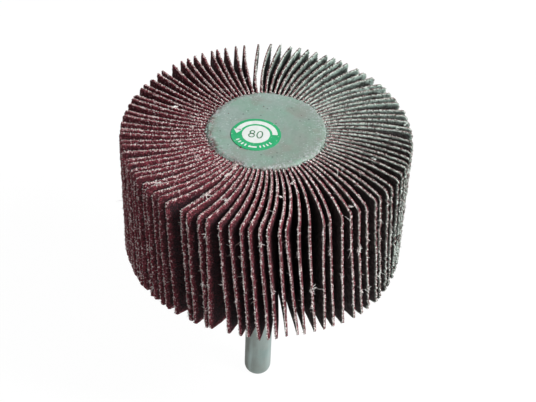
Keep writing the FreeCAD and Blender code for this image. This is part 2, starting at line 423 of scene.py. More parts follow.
# %% The cut edge
CUT_RED = (0.045, 0.010, 0.014), (0.37, 0.068, 0.096)
CUT_ROSY, CUT_DEEP, CUT_DUST = (0.48, 0.21, 0.22), (0.10, 0.012, 0.022), (0.83, 0.67, 0.66)
CUT_GREY = (0.045, 0.024, 0.022), (0.60, 0.56, 0.51)
THREAD_PALE = (0.42, 0.39, 0.34), (0.96, 0.94, 0.88)
THREAD_GREEN, THREAD_GONE = (0.64, 0.78, 0.70), (0.09, 0.045, 0.040)


def cut_edge(tree, fine, cloudy, greyer, layer):
    """A pale line of threads, then crimson grain with white and pink dust."""
    dust = speckle(tree, 0.46, 0.36)["Mask"]
    dusty = mix(tree, fine["Tone"], *CUT_RED)
    dusty = tint(tree, dusty, CUT_ROSY, side(tree, (-1.0, 0.1), 0.8, 1.0), 0.7)
    dusty = tint(tree, dusty, CUT_DEEP, cloudy, 0.4)
    dusty = mix(tree, dust, dusty, CUT_DUST)
    dusty = tint(tree, dusty, mix(tree, dust, *CUT_GREY), greyer, 0.85)
    pale = mix(tree, fine["Tone"], *THREAD_PALE)
    pale = tint(tree, pale, THREAD_GREEN, greyer, 0.7)
    pale = tint(tree, pale, THREAD_GONE, speckle(tree, 0.66, 0.46)["Mask"], 0.9)
    through = maths(tree, "ADD", layer, swing(tree, cloudy, 0.25))
    return mix(tree, climb(tree, through, 0.24, 0.34), pale, dusty)


# %% The whole abrasive finish
FLAP_SHADE = (0.03, 0.012, 0.014)


def abrasive_finish():
    """Grain, cloth and cut edge in one, told apart by the flap's own attributes."""
    finish, tree, shader = new_finish("abrasive_cloth", Roughness=0.85, Specular_IOR_Level=0.2)
    layer, from_edge, tone = (attribute(tree, name) for name in ("layer", "from_edge", "tone"))
    fine = speckle(tree, 0.26, 0.38)
    patches = mottle(tree, 2.5)
    cloudy = mottle(tree, 0.9, 2.5)
    greyer = side(tree, *GREYED)
    cloth = cloth_side(tree, patches, cloudy, from_edge)
    grain = grain_side(tree, fine, patches, greyer, from_edge)
    faces = mix(tree, climb(tree, layer, 0.45, 0.55), cloth, grain)
    ragged = maths(tree, "ADD", from_edge, swing(tree, fine["Tone"], 0.25))
    at_cut = climb(tree, ragged, 0.04, 0.16, 1.0, 0.0)
    colour = mix(tree, at_cut, faces, cut_edge(tree, fine, cloudy, greyer, layer))
    colour = tint(tree, colour, FLAP_SHADE, tone, 0.2)
    surface(tree, shader, colour, maths(tree, "ADD", fine["Height"], scaled(tree, cloudy, 0.8)), 0.2)
    return finish


ABRASIVE = abrasive_finish()
print("finish", ABRASIVE.name, "nodes", len(ABRASIVE.node_tree.nodes))

# %% [markdown]
# ## How a flap stands
# Each flap leaves the core straight out and then trails off in a gentle arc. How far it trails
# differs from flap to flap, and its lower end trails less than its upper end, so the surface
# twists. The frame's flaps follow one formula for the lean of their upper edges. This wheel is
# used and uneven, so each visible flap is nudged from it by what the photograph shows.

# %% Leans of the 92 flaps
COUNT = 92
FIRST_ANGLE = 2.1
# radius of the core, height and thickness of a flap, in millimetres
CORE, TALL, THICK = 12.2246, 30.0, 0.6
# how deep a root sits in the resin, and the height of its notches
ROOT_DEPTH, KEY = 3.0, 1.5
LEAN_LOW, LEAN_SPAN, SCATTER, KINDS = 1.6, 8.2, 1.1, 24
SEAM_TURN, SEAM_FALL = 105, 15 / 360
PARTING_TURN, PARTING_SWEEP, PARTING_WIDTH = 239, 2.0, 5.0


def frame_lean(n):
    """Degrees that the CAD flap n trails: a slow climb round the wheel, two waves and one parting."""
    turn = FIRST_ANGLE + 360 * n / COUNT
    past = ((turn - SEAM_TURN) % 360) / 360
    rise = np.minimum(past / (1 - SEAM_FALL), (1 - past) / SEAM_FALL) ** 0.75
    wave = 0.6 * np.sin(2.4 * n) + 0.4 * np.sin(5.3 * n)
    off = (turn - PARTING_TURN + 180) % 360 - 180
    apart = -np.copysign(PARTING_SWEEP, off) * np.exp(-np.abs(off) / PARTING_WIDTH)
    lean = LEAN_LOW + SCATTER + (LEAN_SPAN - 2 * SCATTER) * rise + SCATTER * wave + apart
    kind = np.clip(np.round((lean - LEAN_LOW) / LEAN_SPAN * (KINDS - 1)), 0, KINDS - 1)
    return LEAN_LOW + LEAN_SPAN * kind / (KINDS - 1)


# angles of the upper tips in sight, in degrees, read along the unwrapped upper face
BACK_TIPS = [58.6, 62.0, 65.7, 70.0, 73.8, 77.4, 81.3, 85.7, 89.7, 94.9, 100.7, 104.4, 108.9, 112.6,
             114.8, 119.2, 122.8, 126.3, 129.5, 133.8]
FRONT_TIPS = [226.9, 230.9, 238.1, 240.9, 245.6, 249, 254, 258.1, 262.2, 265.3, 269, 271.9, 276.3,
              278.9, 283.4, 287.5, 293.1, 295.9, 300.9, 304.7, 308.4, 312.2, 317.5, 319.7, 324.4,
              327.8, 332.5, 336.9, 340.6, 343.1, 346.6, 349.7, 353.8, 356.9]
FLAP = np.arange(COUNT)
frame_tip = FIRST_ANGLE + 360 * FLAP / COUNT - frame_lean(FLAP)
# degrees by which a flap leans less than in the frame, for those whose tip was read
nudge = np.zeros(COUNT)
for first, seen in ((16, BACK_TIPS), (60, FRONT_TIPS)):
    which = (first + np.arange(len(seen))) % COUNT
    nudge[which] = np.round((np.array(seen) - frame_tip[which] + 180) % 360 - 180, 1)
# the strongest of the last ten are toned down
nudge[82:92] = np.clip(nudge[82:92], -1.8, 2.2)
# next to them the nudge fades out, in judged steps
nudge[12:16] = [0.5, 1, 1.5, 2]
nudge[54:60] = [-1, -1.5, -2, -2.5, -3, -3.6]
nudge[2:4] = [-1, -0.5]
upper_lean = frame_lean(FLAP) - nudge
azimuth = np.radians(FIRST_ANGLE + 360 * FLAP / COUNT)
tips = np.degrees(azimuth) - upper_lean
print("upper leans", upper_lean.min().round(1), "to", upper_lean.max().round(1))
print("least step from tip to tip", np.diff(tips).min().round(2), "degrees")

# %% [markdown]
# The rest of a flap's stance changes slowly round the wheel, as bell curves of its angle. The lower
# end hangs back by the twist and stands a little in or out, the front flaps bow sideways, and some
# edges are more battered. Bell curves keep neighbours much alike, as they are in a real pack.

# %% Twist, bow and wear of the 92 flaps
turn = np.degrees(azimuth)


def bell(middle, width, power=2):
    """1 at one angle round the wheel and 0 far from it, for each flap; the width is in degrees."""
    return np.exp(-((turn - middle) / width) ** power)


twist = 4.3 + 2.6 * np.cos(azimuth)
# the front flaps' twist in degrees, given one by one from where their lower tips show
twist[61:79] = [3.6, 3.4, 3.1, 3.3, 1.4, 4.3, 5.0, 4.2, 5.1, 5.1, 5.3, 5.1, 7.0, 5.3, 5.4, 3.9, 5.0, 4.2]
low_inset = 0.5 - 0.9 * bell(318, 24) - 1.0 * bell(274, 7)
bow = 1.1 * bell(265, 14, 4)
battered = np.exp(-((((turn + 180) % 360) - 160) / 38) ** 2)
spike = bell(95, 26)
print("twist", twist.min().round(1), "to", twist.max().round(1), "degrees, bow", bow.max().round(2), "mm")

# %% [markdown]
# ## The flap surface
# A flap is a function of two parameters, the distance along its arc and the height, and all 92 are
# worked out at once with the flap's number as a third axis. The waves, nicks and worn corners come
# from sums of sines with a random start for each flap. They are smooth, repeatable and quick.

# %% Formulas of the flap surface
rng = np.random.default_rng(7)


def each(values):
    """One value a flap, shaped to meet the grids of points."""
    return values[:, None, None]


def waves(x, lengths, depth, seed):
    """Sum of sines of the given wave lengths along x, with a different start for each flap."""
    starts = np.random.default_rng(seed).uniform(0, 2 * np.pi, (COUNT, len(lengths)))
    total = 0
    for k, length in enumerate(lengths):
        total = total + np.sin(2 * np.pi * x / length + each(starts[:, k]))
    return depth * total / len(lengths)


def flap_middle(s, z):
    """Middle of a flap: straight out to the core's rim, then an arc whose chord makes the lean.

    s is the distance along the flap from the core's rim, z the height. The tip lies out ahead of
    the rim and aside of it, and the arc's curvature is 2 * aside / chord squared. Gives x and y in
    the flap's own plane, the two parts of the normal and the arc's length."""
    down = 1 - z / TALL
    lean = np.radians(each(upper_lean) - each(twist) * np.maximum(down, 0) ** 1.15)
    reach = TIP + 0.3 * each(spike) - each(low_inset) * down
    out, aside = reach * np.cos(lean) - CORE, reach * np.sin(lean)
    chord = np.hypot(out, aside)
    curve = 2 * aside / chord ** 2
    length = chord / np.sinc(np.arctan2(aside, out) / np.pi)
    run = np.maximum(s, 0)
    x = CORE + np.minimum(s, 0) + run * np.sinc(curve * run / np.pi)
    y = -curve * run ** 2 / 2 * np.sinc(curve * run / (2 * np.pi)) ** 2
    return x, y, np.sin(curve * run), np.cos(curve * run), length


def to_wheel(x, y, z):
    """Turns a flap's own plane to its place round the wheel's axis."""
    c, s = each(np.cos(azimuth)), each(np.sin(azimuth))
    return np.stack([x * c - y * s, x * s + y * c, z], -1)


# %% [markdown]
# The grid is finer where wear shows: towards the tip and towards the upper and lower edges. The
# heights run from a wavy lower edge to a sagging upper one, and the distances along the flap end at
# a ragged tip with worn corners. The resin holds the root, so waves and bow fade out towards it.

# %% The flaps' grid of points
OUT_STEPS, UP_STEPS = 20, 51
# about how far a flap stands free of the core, and how far its worn corners reach, in millimetres
FREE, CORNER = 18, 1.1
t = np.linspace(0, 1, OUT_STEPS)
along = np.concatenate([[-ROOT_DEPTH, -ROOT_DEPTH / 2, -0.02], 1 - (1 - t) ** 1.35])
w = np.linspace(0, 1, UP_STEPS)
rise = w - 0.5 * np.sin(2 * np.pi * w) / (2 * np.pi)
COLS, ROWS = len(along), len(rise)
U = np.broadcast_to(along[None, :, None], (COUNT, COLS, ROWS))
V = np.broadcast_to(rise[None, None, :], (COUNT, COLS, ROWS))
in_core, outside = U < 0, np.maximum(U, 0)
sagging = waves(outside * FREE, (11, 5, 2.3), 0.05, 3)
fraying = waves(outside * FREE, (1.1, 0.63), 0.03, 4)
upper_edge = TALL + np.minimum(0, sagging) + fraying + 0.3 * each(spike) * outside ** 2
top = np.where(in_core, TALL - KEY, upper_edge)
low = np.where(in_core, KEY, waves(outside * FREE, (9, 3.1, 1.2), 0.10, 5))
Z = low + (top - low) * V
wear = rng.uniform(0.25, 0.75, COUNT)
wear[(turn > 55) & (turn < 150)] *= 0.35
rounded = 0
for edge in (TALL - Z, Z):
    near = np.clip((CORNER - edge) / CORNER, 0, 1)
    rounded = rounded + CORNER * each(wear) * (1 - np.sqrt(np.maximum(0, 1 - near ** 2)))
ragged = waves(Z, (13, 4.7, 2.1), 0.10, 6) + waves(Z, (1.9, 1.3), 0.08, 8) * (1 + each(battered)) + 0.06
ragged = np.maximum(ragged + 0.16 * rng.uniform(0, 1, (COUNT, 1, ROWS)) ** 2, 0)
LENGTH = flap_middle(np.zeros_like(Z), Z)[-1]
S = np.where(in_core, U, outside * (LENGTH - rounded - ragged))
print("flap grid", COLS, "x", ROWS, "arc length", LENGTH.min().round(2), "to", LENGTH.max().round(2))

# %% Both sides of the flaps
X, Y, NX, NY, _ = flap_middle(S, Z)
outward_share = np.clip(S / LENGTH, 0, 1)
billow = waves(Z + S, (31, 17), 0.07, 9) * np.clip(S / 14, 0, 1)
billow = billow + waves(Z - 0.6 * S, (7, 4.2), 0.02, 10) * np.clip(S / 10, 0, 1)
billow = billow + waves(Z, (3.3, 2.1), 0.09, 12) * each(battered) * outward_share ** 4
billow = billow + each(bow) * np.sin(np.pi * outward_share) * np.clip(1 - Z / TALL, 0, 1)
X, Y = X + NX * billow, Y + NY * billow
to_tip = np.maximum(np.maximum(LENGTH - rounded - S, 0) - ragged, 0)
from_edge = np.minimum(np.minimum(np.abs(top - Z), np.abs(Z - low)), to_tip)
half = THICK / 2 * (1 - 0.36 * np.exp(-from_edge / 0.45))
GRAIN = to_wheel(X + NX * half, Y + NY * half, Z)
CLOTH = to_wheel(X - NX * half, Y - NY * half, Z)
MIDDLE = to_wheel(X, Y, Z)
print("tip radius", np.hypot(MIDDLE[..., 0], MIDDLE[..., 1]).max().round(2))

# %% [markdown]
# The two sides share their border with a narrow rim, the cut edge. The rim runs once round the
# flap, and its inner rows stand out a little where grains were torn loose.

# %% The cut edge round each flap
THROUGH = np.array([0.0, 0.22, 0.40, 0.62, 0.82, 1.0])
INNER_ROWS = len(THROUGH) - 2
c, r = np.arange(COLS), np.arange(ROWS)
LOOP = np.concatenate([c[:-1] * ROWS, (COLS - 1) * ROWS + r[:-1],
                       c[:0:-1] * ROWS + ROWS - 1, r[:0:-1]])
c_in, r_in = np.minimum(c, COLS - 2), np.clip(r, 1, ROWS - 2)
INNER = np.concatenate([c_in[:-1] * ROWS + 1, (COLS - 2) * ROWS + r_in[:-1],
                        c_in[:0:-1] * ROWS + ROWS - 2, ROWS + r_in[:0:-1]])
flat = COLS * ROWS
loop = len(LOOP)


def rim_rows():
    """Rows between the cloth's and the grain's border: a straight mix, bulged and gritty outward."""
    cloth, grain, middle = (a.reshape(COUNT, flat, 3) for a in (CLOTH, GRAIN, MIDDLE))
    outward = middle[:, LOOP] - middle[:, INNER]
    outward /= np.linalg.norm(outward, axis=-1, keepdims=True) + 1e-9
    rows = []
    for share in THROUGH[1:-1]:
        grit = rng.uniform(-0.05, 0.10, (COUNT, loop, 1)) * min(1, 2 * share)
        straight = cloth[:, LOOP] * (1 - share) + grain[:, LOOP] * share
        rows.append(straight + outward * (0.05 * math.sin(math.pi * share) + grit))
    return np.stack(rows, 1)


RIM = rim_rows()
inner_rings = 2 * flat + np.arange(INNER_ROWS * loop).reshape(INNER_ROWS, loop)
ring = np.vstack([LOOP, inner_rings, flat + LOOP])
nxt = np.roll(ring, -1, axis=1)
rim_quads = np.stack([ring[:-1], ring[1:], nxt[1:], nxt[:-1]], -1).reshape(-1, 4)
cloth_quads = grid_faces(COLS, ROWS)
FLAP_FACES = np.vstack([cloth_quads, cloth_quads[:, ::-1] + flat, rim_quads])
PER_FLAP = 2 * flat + loop * INNER_ROWS
print("faces in a flap", len(FLAP_FACES), "points", PER_FLAP)

# %% [markdown]
# Every flap is a strip of its own on the real wheel. Two neighbours share a CAD node, so each mesh
# here holds two flaps as well and stands for that node. The UV map is the strip laid flat, in
# centimetres, with the grain side above the cloth side; it carries the weave.

# %% Forty-six pairs of flaps
layer = np.concatenate([np.zeros(flat), np.ones(flat), np.repeat(THROUGH[1:-1], loop)])
tone = rng.uniform(0, 1, COUNT) ** 2
for pair in range(COUNT // 2):
    points, edge, uv, tones = [], [], [], []
    for n in (2 * pair, 2 * pair + 1):
        points += [CLOTH[n].reshape(-1, 3), GRAIN[n].reshape(-1, 3), RIM[n].reshape(-1, 3)]
        sheet = np.stack([S[n].ravel(), Z[n].ravel()], -1) / 10
        edge += [from_edge[n].ravel(), from_edge[n].ravel(), np.zeros(loop * INNER_ROWS)]
        uv += [sheet, sheet + [0, 4], np.tile(sheet[LOOP], (INNER_ROWS, 1))]
        tones.append(np.full(PER_FLAP, tone[n]))
    stored = {"layer": np.tile(layer, 2), "from_edge": np.concatenate(edge), "tone": np.concatenate(tones)}
    piece = make_piece("abrasive_flaps_%02d" % (pair + 1), np.vstack(points),
                       copies([FLAP_FACES], 2, PER_FLAP), ABRASIVE, stored, np.vstack(uv), 55)
    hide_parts("flap_pair_%02d" % (pair + 1))
print("pairs", COUNT // 2, "triangles", 2 * len(FLAP_FACES) * COUNT)

# %% [markdown]
# ## Loose grains and frayed threads
# Sanding has broken the flaps' edges. Grains stand proud along the cut, some red and some bare and
# pale, and the cloth frays into short white fibres with a few long hairs. Each grain and each fibre
# has its own tone as an attribute, and one ramp turns the tone into its colour.

# %% Finishes for grains and fibres
GRAIN_TONES = [(0.0, (0.08, 0.008, 0.016)), (0.45, (0.36, 0.04, 0.075)), (0.66, (0.60, 0.25, 0.28)),
               (0.82, (0.86, 0.74, 0.71)), (1.0, (0.92, 0.90, 0.87))]
GRAIN_TONES_GREY = (0.05, 0.03, 0.027), (0.55, 0.52, 0.47)
FIBRE_TONES = [(0.0, (0.16, 0.085, 0.08)), (0.26, (0.34, 0.26, 0.245)), (0.42, (0.68, 0.64, 0.60)),
               (1.0, (0.96, 0.97, 0.95))]
FIBRE_TONES_GREY = [(0.0, (0.03, 0.03, 0.027)), (0.36, (0.10, 0.10, 0.09)), (0.52, (0.60, 0.69, 0.64)),
                    (1.0, (0.84, 0.96, 0.89))]


def grain_finish():
    """Loose grains, dark red to pink and white, greyer on the right and at the rear."""
    finish, tree, shader = new_finish("loose_grains", Roughness=0.6)
    tone = attribute(tree, "tone")
    colour = ramp(tree, tone, GRAIN_TONES)
    colour = tint(tree, colour, (0.25, 0.06, 0.08), mottle(tree, 0.15), 0.3)
    colour = tint(tree, colour, mix(tree, tone, *GRAIN_TONES_GREY), side(tree, *GREYED), 0.7)
    surface(tree, shader, colour, mottle(tree, 0.08), 0.02, 0.5)
    return finish


def fibre_finish():
    """Cotton fibres: off-white, a little pink or grey with dust."""
    finish, tree, shader = new_finish("cotton_fibres", Roughness=0.9)
    tone = attribute(tree, "tone")
    colour = ramp(tree, tone, FIBRE_TONES)
    colour = tint(tree, colour, (0.55, 0.35, 0.35), mottle(tree, 0.4), 0.3)
    colour = tint(tree, colour, ramp(tree, tone, FIBRE_TONES_GREY), side(tree, *GREYED), 0.85)
    surface(tree, shader, colour, mottle(tree, 0.06), 0.01, 0.5)
    return finish


GRAINS = grain_finish()
FIBRES = fibre_finish()
print("finishes", GRAINS.name, FIBRES.name)

# %% [markdown]
# Grains and fibres need places on the worn edges. They are drawn at random along each flap's outer
# and upper edge and read off the flap grids, so that they sit on the cut whatever its shape.

# %% Points on the cut edges


def edge_points(count, seed, tip_share, share_low, share_high, fuzz=0.0, even=False):
    """Random places on the cut edges: point, outward direction, and the generator to go on with.

    tip_share of them lie on the outer edge, the rest along the top, from the core to the tip. Each
    lies between share_low and share_high of the way from the cloth to the grain. fuzz makes them
    denser on the front right, where the cloth is most frayed; even spaces them almost evenly along
    each flap's edge instead."""
    local = np.random.default_rng(seed)
    worn = 1 + fuzz * np.cos(azimuth - math.radians(320))
    n = local.choice(COUNT, count, p=worn / worn.sum())
    stretch = local.uniform(0, 1, count)
    if even:
        n, step = np.arange(count) % COUNT, np.arange(count) // COUNT
        stretch = (step + 0.8 * stretch) / (count // COUNT + 1)
    on_tip = stretch < tip_share
    over = np.clip((stretch - tip_share) / (1 - tip_share), 0, 1)
    on_top = np.interp(over, along[2:], np.arange(2, COLS)).clip(2.5, COLS - 1.001)
    on_side = np.interp(stretch / tip_share, rise, np.arange(ROWS)).clip(0, ROWS - 1.001)
    col = np.where(on_tip, COLS - 1, on_top)
    row = np.where(on_tip, on_side, ROWS - 1)
    c0, r0 = np.minimum(col.astype(int), COLS - 2), np.minimum(row.astype(int), ROWS - 2)
    fc, fr = (col - c0)[:, None], (row - r0)[:, None]

    def at(grid):
        a = grid[n, c0, r0] * (1 - fc) + grid[n, c0 + 1, r0] * fc
        b = grid[n, c0, r0 + 1] * (1 - fc) + grid[n, c0 + 1, r0 + 1] * fc
        return a * (1 - fr) + b * fr

    share = local.uniform(share_low, share_high, count)[:, None]
    cloth, grain = at(CLOTH), at(GRAIN)
    radial = unit(np.cross(unit(grain - cloth), [0, 0, 1.0]))
    outward = np.where(on_tip[:, None], radial, [0, 0, 1.0])
    return cloth * (1 - share) + grain * share, outward, local


# %% [markdown]
# A grain of abrasive is a small blocky crystal, and the ends of the cloth's threads are lumps of
# about the same size. Both can be an octahedron with uneven corners, turned at random: eight faces
# are enough at this size, so twenty thousand of them stay light.

# %% A helper for crystals
# an octahedron's six corners and its eight faces
SIX = np.array([[1, 0, 0], [0, 1, 0], [0, 0, 1], [-1, 0, 0], [0, -1, 0], [0, 0, -1.0]])
EIGHT = np.array([[0, 1, 2], [1, 3, 2], [3, 4, 2], [4, 0, 2], [1, 0, 5], [3, 1, 5], [4, 3, 5], [0, 4, 5]])


def crystals(name, points, sizes, tones, material, local):
    """Lumpy octahedra: six corners at random distances from each point, turned at random."""
    count = len(points)
    reach = sizes[:, None, None] * local.uniform(0.6, 1.2, (count, 6, 1))
    spin = np.linalg.qr(local.normal(size=(count, 3, 3)))[0]
    spin *= np.sign(np.linalg.det(spin))[:, None, None]
    corners = points[:, None, :] + np.einsum("kj,nij->nki", SIX, spin) * reach
    faces = copies([EIGHT], count, 6)
    stored = {"tone": np.repeat(local.uniform(*tones, count), 6)}
    return make_piece(name, corners.reshape(-1, 3), faces, material, stored, smooth_angle=20)


# %% Grains along the cut
GRAIN_COUNT = 11000
place, outward, local = edge_points(GRAIN_COUNT, 31, 0.42, 0.30, 0.98)
sizes = local.uniform(0.07, 0.19, GRAIN_COUNT)
grains = crystals("loose_grains", place + outward * 0.03, sizes, (0, 1), GRAINS, local)
print("grains", GRAIN_COUNT, "faces", len(grains.data.polygons))

# %% Thread ends along the cut
END_COUNT = 112 * COUNT
place, outward, local = edge_points(END_COUNT, 35, 0.63, -0.02, 0.16, even=True)
place = place + outward * local.uniform(-0.02, 0.10, (END_COUNT, 1))
larger_in_front = 1 + 0.3 * bell(290, 40)[np.arange(END_COUNT) % COUNT]
sizes = local.uniform(0.10, 0.21, END_COUNT) * larger_in_front
ends = crystals("thread_ends", place, sizes, (0, 0.9), FIBRES, local)
print("thread ends", END_COUNT, "faces", len(ends.data.polygons))

# %% [markdown]
# A fibre could be a curve with a bevel, but thousands of curves are slow and heavy. Here each one is
# a three-sided tube with five rings that tapers towards its free end, and all are one mesh.

# %% A helper for hairs
HAIR_STEPS, HAIR_SIDES = 5, 3
HAIR_POINTS = HAIR_STEPS * HAIR_SIDES


def hairs(name, root, aim, length, widths, curl, tones, local, wobble=0.07):
    """Tapering tubes: middle = root + length * (aim * t + bend * t squared + a small wave * t).

    t runs from 0 to 1. curl scales the random bend and wobble the wave; widths and tones are
    ranges to draw from."""
    count = len(root)
    width = local.uniform(*widths, count)[:, None, None, None]
    bend = local.normal(size=(count, 3)) * curl
    t = np.linspace(0, 1, HAIR_STEPS)[None, :, None]
    start = local.normal(size=(count, 1, 3))
    wave = start * np.sin(np.pi * 2 * t + local.uniform(0, 6, (count, 1, 1))) * wobble
    line = root[:, None] + length[:, None, None] * (aim[:, None] * t + bend[:, None] * t ** 2 + wave * t)
    across = unit(np.cross(aim, local.normal(size=(count, 3))))
    other = np.cross(aim, across)
    a = (2 * np.pi * np.arange(HAIR_SIDES) / HAIR_SIDES)[None, None, :, None]
    ring = across[:, None, None] * np.cos(a) + other[:, None, None] * np.sin(a)
    points = line[:, :, None] + ring * (width * (1 - 0.65 * t[..., None]))
    quads = grid_faces(HAIR_STEPS, HAIR_SIDES, close_columns=True)[:, ::-1]
    caps = np.array([[0, 2, 1], [HAIR_POINTS - 3, HAIR_POINTS - 2, HAIR_POINTS - 1]])
    stored = {"tone": np.repeat(local.uniform(*tones, count), HAIR_POINTS)}
    faces = copies([quads, caps], count, HAIR_POINTS)
    return make_piece(name, points.reshape(-1, 3), faces, FIBRES, stored, smooth_angle=80)


# %% Fibres along the cut
FIBRE_COUNT = 5200
place, outward, local = edge_points(FIBRE_COUNT, 41, 0.68, 0.0, 0.30, 0.6)
aim = unit(outward * 0.45 + local.normal(size=(FIBRE_COUNT, 3)) * 0.6)
length = np.minimum(0.14 + local.exponential(0.13, FIBRE_COUNT), 1.0)
fibres = hairs("edge_fibres", place, aim, length, (0.03, 0.06), 0.6, (0, 1), local)
print("fibres", FIBRE_COUNT, "faces", len(fibres.data.polygons))

# %% [markdown]
# A few places carry longer hairs and small tufts, as the photograph shows at the front. Each tuft
# is a handful of the same tubes, started close together on one flap and combed roughly one way.

# %% Tufts of longer hair
# azimuth in degrees, height in mm, hairs, length in mm
TUFTS = np.array([
    (213.6, 3.9, 4, 1.4), (221.5, 14.6, 3, 3.4), (221, 21, 3, 1.6), (223.6, 3.7, 6, 1.1),
    (230, 8, 5, 1.2), (240, 27, 5, 1.1), (242.2, 2.3, 6, 1.2), (245.8, 12.6, 5, 1.9),
    (250, 26, 4, 1.0), (256.7, 13.8, 6, 1.6), (262, 22, 3, 1.0), (270, 25.5, 6, 0.9),
    (276, 14.3, 7, 1.3), (284, 23, 4, 0.9), (289.3, 12.5, 17, 1.5), (293.2, 8, 10, 1.1),
    (298, 22, 5, 1.2), (304.8, 21.3, 7, 1.2), (304.7, 14.4, 6, 1.3), (309.1, 19.6, 18, 1.2),
    (312.1, 6.5, 7, 1.2), (313.8, 21.5, 8, 1.4), (316.5, 6.2, 6, 1.2), (322, 24, 5, 1.1),
    (324.7, 7.2, 7, 1.4), (330, 17, 5, 1.1), (339.7, 7.3, 9, 1.3), (350, 20, 5, 1.3),
    (10, 12, 5, 1.6), (28, 22, 6, 1.4), (47, 8, 4, 2.0), (66, 18, 5, 1.6), (88, 12, 4, 1.8),
    (112, 20, 5, 1.4), (131, 7, 4, 1.8), (150, 16, 5, 1.6), (206, 17, 3, 0.9)])
at_azimuth, at_height, hair_count, long = TUFTS.T
which = np.repeat(np.arange(len(TUFTS)), (hair_count * 1.5).astype(int))
local = np.random.default_rng(51)
tip_azimuth = np.degrees(np.arctan2(MIDDLE[:, -1, :, 1], MIDDLE[:, -1, :, 0])) % 360
row = np.argmin(np.abs(rise[None, :] * TALL - at_height[:, None]), axis=1)
gap = np.abs((tip_azimuth[:, row].T - at_azimuth[:, None] + 180) % 360 - 180)
flap_of = np.argmin(gap, axis=1)
one_each = (len(which), 3)
root = CLOTH[flap_of, COLS - 1, row][which] + local.normal(size=one_each) * [0.14, 0.14, 0.42]
away = unit(root * [1, 1, 0])
sideways = np.cross([0, 0, 1.0], away)
lay = local.normal(size=(len(TUFTS), 2))[which]
combed = 0.35 * away + sideways * lay[:, :1] * 0.7 + lay[:, 1:] * [0, 0, 0.9]
aim = unit(combed + local.normal(size=one_each) * 0.22)
length = long[which] * local.uniform(0.15, 0.42, len(which))
tufts = hairs("frayed_tufts", root, aim, length, (0.06, 0.13), 0.8, (0.5, 1), local, 0.25)
print("tuft hairs", len(which))

# %% [markdown]
# Lint has settled on the upper edges too. It is the same kind of tuft, laid flat: its hairs aim
# along the face of the wheel and hardly up.

# %% Lint on the upper edges
# azimuth in degrees, distance from the axis in mm, hairs, length in mm
LINT = np.array([
    (220.6, 26.9, 10, 1.8), (241, 23.9, 8, 1.7), (251.4, 23.4, 9, 1.0), (278.9, 20.5, 7, 0.8),
    (287.9, 16.9, 7, 0.7), (306.8, 28.2, 7, 0.9), (340.8, 23.1, 9, 0.8), (338.7, 15, 6, 0.7),
    (6.4, 26.8, 9, 0.9), (8.4, 28.9, 9, 0.9), (160, 20, 6, 1.0)])
which = np.repeat(np.arange(len(LINT)), LINT[:, 2].astype(int))
one_each = (len(which), 3)
middle = polar(LINT[which, 1], np.radians(LINT[which, 0]), TALL + 0.05)
root = middle + local.normal(size=one_each) * [0.22, 0.22, 0.08]
lay = local.normal(size=(len(LINT), 3))[which]
aim = unit((lay + local.normal(size=one_each) * 0.3) * [1, 1, 0.25])
length = LINT[which, 3] * local.uniform(0.25, 0.6, len(which))
lint = hairs("lint_on_top", root, aim, length, (0.07, 0.13), [0.7, 0.7, 0.15], (0.5, 1), local, 0.15)
print("lint hairs", len(which))

# %% [markdown]
# ## The cast core
# The core is poured resin: matt, grey-green and cloudy, with tiny pits where bubbles burst and a
# soft rim where it crept between the flaps. The CAD core stays, with its slots, and gets the
# finish. Cloudiness at several sizes, one mottle each, looks more like a casting than one noise.

# %% The resin finish
RESIN_BASE = (0.155, 0.250, 0.195), (0.255, 0.315, 0.285)
RESIN_CLOUD, RESIN_GREEN, RESIN_DUSKY = (0.33, 0.38, 0.35), (0.185, 0.325, 0.245), (0.22, 0.215, 0.19)
RESIN_BACK_LEFT, RESIN_FRONT_RIGHT = (0.265, 0.345, 0.320), (0.165, 0.190, 0.160)
RIM_ROSY = (0.10, 0.045, 0.045), (0.46, 0.33, 0.33)
FROST = (0.62, 0.72, 0.76), (0.40, 0.30, 0.34)
FLECK, PIT = (0.66, 0.74, 0.74), (0.10, 0.13, 0.12)
# the distance from the axis that the rim's limits are shares of
RIM_REACH = 14 * MM


